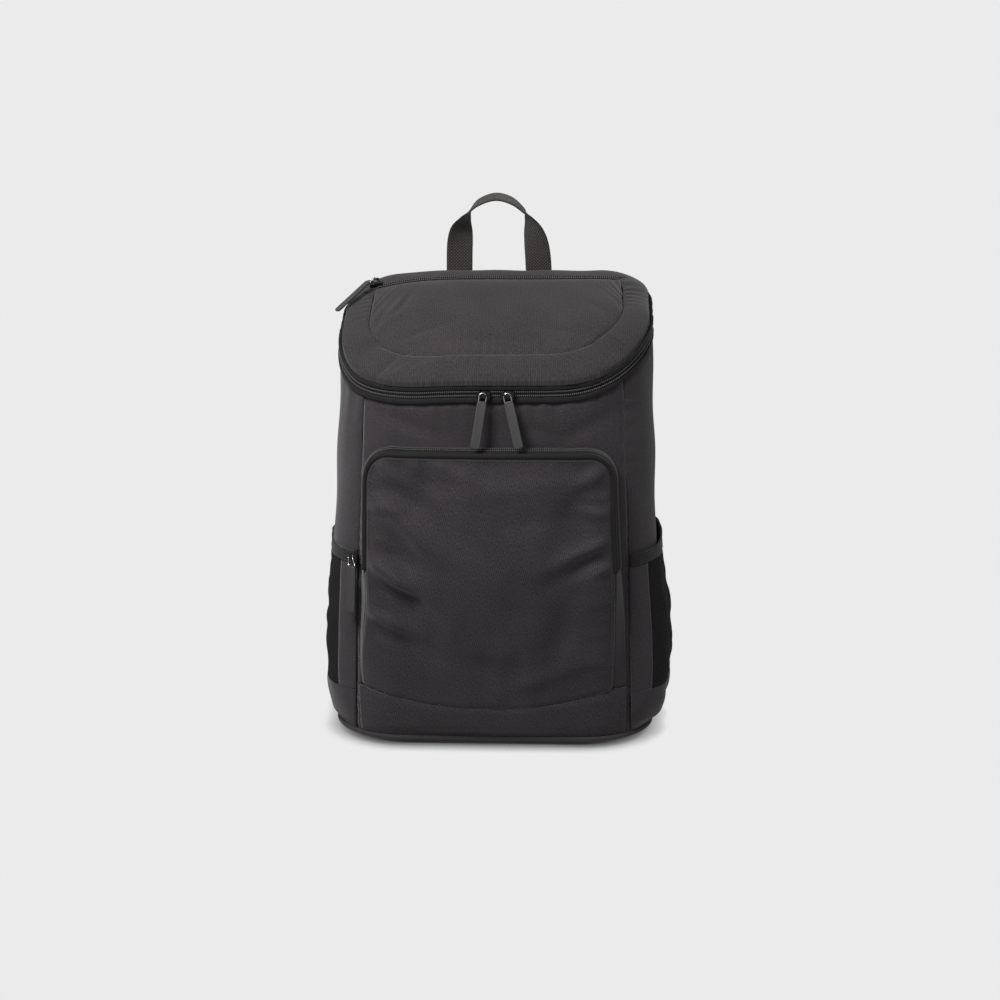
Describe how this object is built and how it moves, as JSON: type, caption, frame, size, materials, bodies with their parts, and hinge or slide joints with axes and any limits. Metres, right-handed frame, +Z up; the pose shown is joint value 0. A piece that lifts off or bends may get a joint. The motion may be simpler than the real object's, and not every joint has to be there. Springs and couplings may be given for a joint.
{
  "type": "cooler backpack",
  "caption": "Insulated soft backpack with a slanting zipped lid, front and top zip pockets, mesh side pockets, grab handle and padded shoulder straps.",
  "frame": {"origin": "middle of the base on the floor", "axes": "front of the bag faces -Y, the straps are on +Y, +Z is up, +X is the bag's left as worn"},
  "size_m": [0.3238, 0.2478, 0.4819],
  "materials": {
    "body_fabric": "fine ribbed woven polyester, dull",
    "lid_fabric": "fine ribbed woven polyester, dull",
    "mesh_fabric": "open knitted mesh",
    "tape_fabric": "woven tape",
    "zip_coil": "nylon coil teeth",
    "slider_metal": "black painted",
    "wire_metal": "plain wire",
    "tab_rubber": "matt",
    "webbing": "coarse woven webbing",
    "strap_padding": "padded cloth",
    "lock_plastic": "moulded"
  },
  "bodies": {
    "root": {"front_panel": "body_fabric", "side_panel_left": "body_fabric", "side_panel_right": "body_fabric", "back_panel": "body_fabric", "base_panel": "body_fabric", "front_pocket_gusset_left": "body_fabric", "front_pocket_gusset_right": "body_fabric", "front_pocket_panel": "body_fabric", "front_pocket_lower_band": "body_fabric", "side_pocket_strip_left": "body_fabric", "side_pocket_base_left": "body_fabric", "side_pocket_strip_right": "body_fabric", "side_pocket_base_right": "body_fabric", "strap_anchor_left": "body_fabric", "strap_anchor_right": "body_fabric", "lid_band": "lid_fabric", "lid_back_strip": "lid_fabric", "lid_pocket_panel": "lid_fabric", "side_pocket_mesh_left": "mesh_fabric", "side_pocket_mesh_right": "mesh_fabric", "base_piping": "tape_fabric", "main_zip_tape": "tape_fabric", "main_zip_binding_lower": "tape_fabric", "main_zip_binding_upper": "tape_fabric", "lid_zip_tape": "tape_fabric", "front_pocket_zip_tape": "tape_fabric", "side_pocket_elastic_left": "tape_fabric", "side_pocket_elastic_right": "tape_fabric", "main_zip_coil": "zip_coil", "lid_zip_coil": "zip_coil", "front_pocket_coil": "zip_coil", "main_pull_left_slider": "slider_metal", "main_pull_right_slider": "slider_metal", "pocket_pull_slider": "slider_metal", "lid_pull_slider": "slider_metal", "main_pull_left_ring": "wire_metal", "main_pull_right_ring": "wire_metal", "pocket_pull_ring": "wire_metal", "lid_pull_ring": "wire_metal", "main_pull_left_tab": "tab_rubber", "main_pull_right_tab": "tab_rubber", "pocket_pull_tab": "tab_rubber", "lid_pull_tab": "tab_rubber", "grab_handle": "webbing", "strap_loop_left": "webbing", "strap_webbing_left": "webbing", "strap_loop_right": "webbing", "strap_webbing_right": "webbing", "lid_pad": "strap_padding", "shoulder_strap_left": "strap_padding", "shoulder_strap_right": "strap_padding", "strap_lock_left": "lock_plastic", "strap_lock_right": "lock_plastic"}
  },
  "joints": []
}
